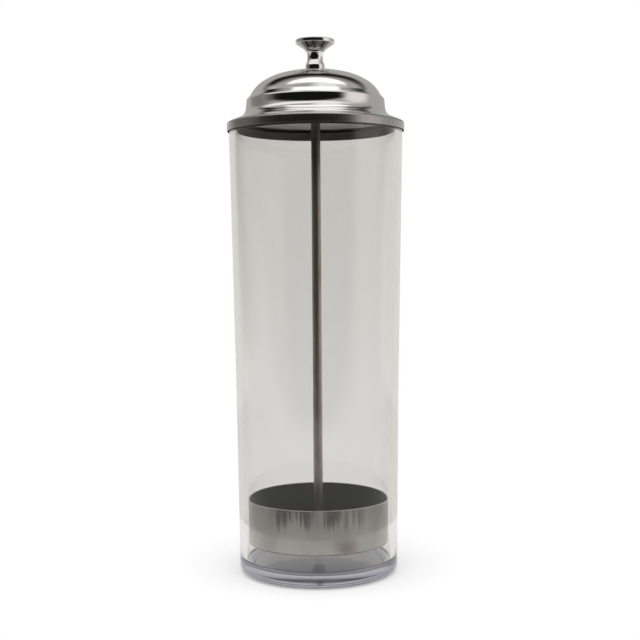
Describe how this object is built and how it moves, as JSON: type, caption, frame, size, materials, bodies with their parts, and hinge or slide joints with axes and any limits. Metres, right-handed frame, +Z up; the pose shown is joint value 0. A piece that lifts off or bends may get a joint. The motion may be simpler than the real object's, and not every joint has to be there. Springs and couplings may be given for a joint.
{
  "type": "straw dispenser",
  "caption": "Clear flared jar with a chromed domed lid; raising the lid by its knob lifts a straw tray on a rod.",
  "frame": {"origin": "centre of the jar's foot ring, in the plane of the table it stands on", "axes": "+Z up along the jar's axis, +X to the viewer's right and +Y away from the viewer in the picture"},
  "size_m": [0.0906, 0.0906, 0.2735],
  "materials": {
    "clear_acrylic": "clear, polished",
    "chrome_plate": "bright chrome plate with faint polishing marks",
    "chrome_knob": "mirror chrome plate",
    "ring_steel": "dull pressed steel",
    "rod_steel": "drawn bar, lengthwise grain",
    "tray_steel": "satin stainless with drawing streaks and stains",
    "zinc_plate": "bright zinc plate"
  },
  "bodies": {
    "jar": {"jar": "clear_acrylic"},
    "lift_rod": {"lift_rod": "rod_steel"},
    "lid_and_tray": {"lid_dome": "chrome_plate", "lid_plug_ring": "ring_steel", "knob": "chrome_knob", "lid_washer": "zinc_plate", "lid_nut": "zinc_plate", "tray_cup": "tray_steel", "tray_washer": "zinc_plate", "tray_nut": "zinc_plate", "cap_nut": "zinc_plate"}
  },
  "joints": [
    {"name": "lid_lift", "type": "slide", "parent": "jar", "child": "lift_rod", "axis": [0, 0, 1], "range_m": [0, 0.225]},
    {"name": "lid_turn", "type": "hinge", "parent": "lift_rod", "child": "lid_and_tray", "pos_m": [0, 0, 0.2298], "axis": [0, 0, 1], "continuous": true}
  ]
}
